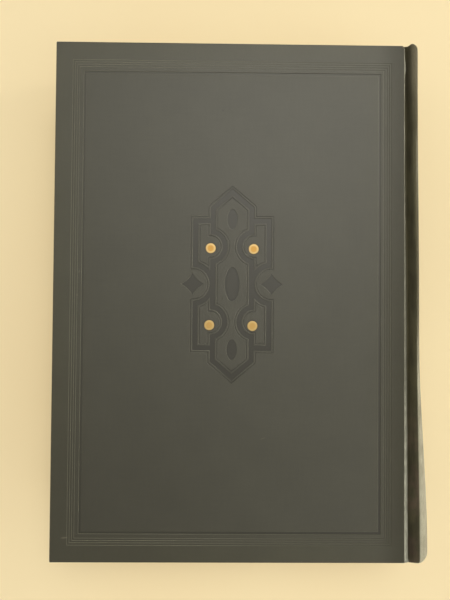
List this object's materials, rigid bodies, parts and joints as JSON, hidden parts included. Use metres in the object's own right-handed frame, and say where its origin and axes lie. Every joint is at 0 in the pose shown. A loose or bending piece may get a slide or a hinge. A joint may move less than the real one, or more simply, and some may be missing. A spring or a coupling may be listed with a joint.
{
  "type": "hardback book",
  "caption": "Thick cloth-bound hardback book with a rounded spine, French grooves, a blind-tooled border and strapwork ornament, and covers that open.",
  "frame": {"origin": "centre of the front cover's outer face, on the surface that the book lies on", "axes": "+X from the fore-edge to the spine, +Y from the tail to the head, +Z from the front cover to the back cover"},
  "size_m": [0.1848, 0.2481, 0.04],
  "materials": {
    "book_cloth": "matt woven book cloth",
    "gilt_foil": "satin gold foil",
    "greyboard": "matt pressed board",
    "pages": "matt uncoated paper",
    "endpaper": "matt uncoated paper",
    "mull": "open starched gauze",
    "lining_paper": "matt kraft paper",
    "band": "matt wound thread"
  },
  "bodies": {
    "text_block": {"text_block": "pages", "back_flyleaf": "endpaper", "front_flyleaf": "endpaper", "spine_mull": "mull", "spine_lining": "lining_paper", "head_band": "band", "tail_band": "band", "spine_inlay": "greyboard", "spine_cloth": "book_cloth"},
    "back_cover": {"back_board": "greyboard", "back_cover_cloth": "book_cloth", "gilt_dots": "gilt_foil", "back_pastedown": "endpaper"},
    "front_cover": {"front_board": "greyboard", "front_cover_cloth": "book_cloth", "front_pastedown": "endpaper"}
  },
  "joints": [
    {"name": "back_cover_hinge", "type": "hinge", "parent": "text_block", "child": "back_cover", "pos_m": [0.0888, 0, 0.0392], "axis": [0, 1, 0], "range_deg": [0, 180]},
    {"name": "front_cover_hinge", "type": "hinge", "parent": "text_block", "child": "front_cover", "pos_m": [0.0888, 0, 0.0008], "axis": [0, -1, 0], "range_deg": [0, 180]}
  ]
}
